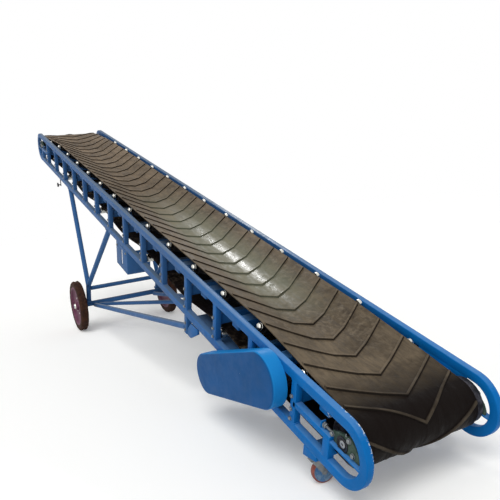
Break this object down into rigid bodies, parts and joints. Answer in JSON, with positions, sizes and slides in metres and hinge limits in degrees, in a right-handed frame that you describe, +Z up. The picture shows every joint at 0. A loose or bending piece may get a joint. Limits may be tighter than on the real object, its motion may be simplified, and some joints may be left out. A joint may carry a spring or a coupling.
{
  "type": "portable belt conveyor",
  "caption": "Inclined portable belt conveyor: tubular side frames, troughed chevron belt on rollers, side drive guard, two road wheels on a braced undercarriage and tail casters.",
  "frame": {"origin": "bottom centre of the bounding box, on the floor under the middle of the conveyor", "axes": "+X from the tail to the discharge head along the floor, +Y to the drive guard's side, +Z up"},
  "size_m": [6.395, 1.11, 2.2797],
  "materials": {
    "blue": "satin",
    "roller": "satin",
    "zinc": "bright zinc",
    "belt": "worn satin",
    "cast": "painted casting",
    "tyre": "matt",
    "rim": "worn satin",
    "tread": "satin",
    "motor": "satin",
    "knob": "matt"
  },
  "bodies": {
    "frame": {"axle_beam": "blue", "belt": "belt", "carrying_rollers_01": "roller", "carrying_rollers_02": "roller", "carrying_rollers_03": "roller", "carrying_rollers_04": "roller", "carrying_rollers_05": "roller", "carrying_rollers_06": "roller", "carrying_rollers_07": "roller", "carrying_rollers_08": "roller", "carrying_rollers_09": "roller", "carrying_rollers_10": "roller", "carrying_rollers_11": "roller", "carrying_rollers_12": "roller", "carrying_rollers_13": "roller", "carrying_rollers_14": "roller", "cross_brace": "blue", "deck_ladder": "blue", "drive_drum": "roller", "drive_guard": "blue", "drive_motor": "motor", "hanging_bracket": "blue", "head_pulley": "roller", "left_brace": "blue", "left_drum_bearing": "cast", "left_head_bearing": "cast", "left_leg": "blue", "left_side_frame": "blue", "left_tail_bearing": "cast", "motor_plate": "blue", "return_roller_1": "roller", "return_roller_2": "roller", "return_roller_3": "roller", "return_roller_4": "roller", "right_brace": "blue", "right_drum_bearing": "cast", "right_head_bearing": "cast", "right_leg": "blue", "right_side_frame": "blue", "right_tail_bearing": "cast", "star_knob": "knob", "tail_channel": "blue", "tail_pulley": "roller", "upper_cross_tube": "blue"},
    "left_caster_fork": {"left_caster_fork": "zinc"},
    "left_caster_wheel": {"left_caster_wheel": "tread"},
    "left_road_wheel": {"left_road_wheel": "rim", "left_road_tyre": "tyre"},
    "right_caster_fork": {"right_caster_fork": "zinc"},
    "right_caster_wheel": {"right_caster_wheel": "tread"},
    "right_road_wheel": {"right_road_wheel": "rim", "right_road_tyre": "tyre"}
  },
  "joints": [
    {"name": "left_road_wheel_spin", "type": "hinge", "parent": "frame", "child": "left_road_wheel", "pos_m": [1.49371, 0.5, 0.268], "axis": [0, 1, 0], "continuous": true},
    {"name": "left_caster_swivel", "type": "hinge", "parent": "frame", "child": "left_caster_fork", "pos_m": [-2.76566, 0.375, 0.13], "axis": [0, 0, 1], "continuous": true},
    {"name": "left_caster_wheel_spin", "type": "hinge", "parent": "left_caster_fork", "child": "left_caster_wheel", "pos_m": [-2.77261, 0.33561, 0.057], "axis": [0.9848, -0.1736, 0], "continuous": true},
    {"name": "right_road_wheel_spin", "type": "hinge", "parent": "frame", "child": "right_road_wheel", "pos_m": [1.49371, -0.5, 0.268], "axis": [0, 1, 0], "continuous": true},
    {"name": "right_caster_swivel", "type": "hinge", "parent": "frame", "child": "right_caster_fork", "pos_m": [-2.76566, -0.375, 0.13], "axis": [0, 0, 1], "continuous": true},
    {"name": "right_caster_wheel_spin", "type": "hinge", "parent": "right_caster_fork", "child": "right_caster_wheel", "pos_m": [-2.77261, -0.41439, 0.057], "axis": [0.9848, -0.1736, 0], "continuous": true}
  ]
}
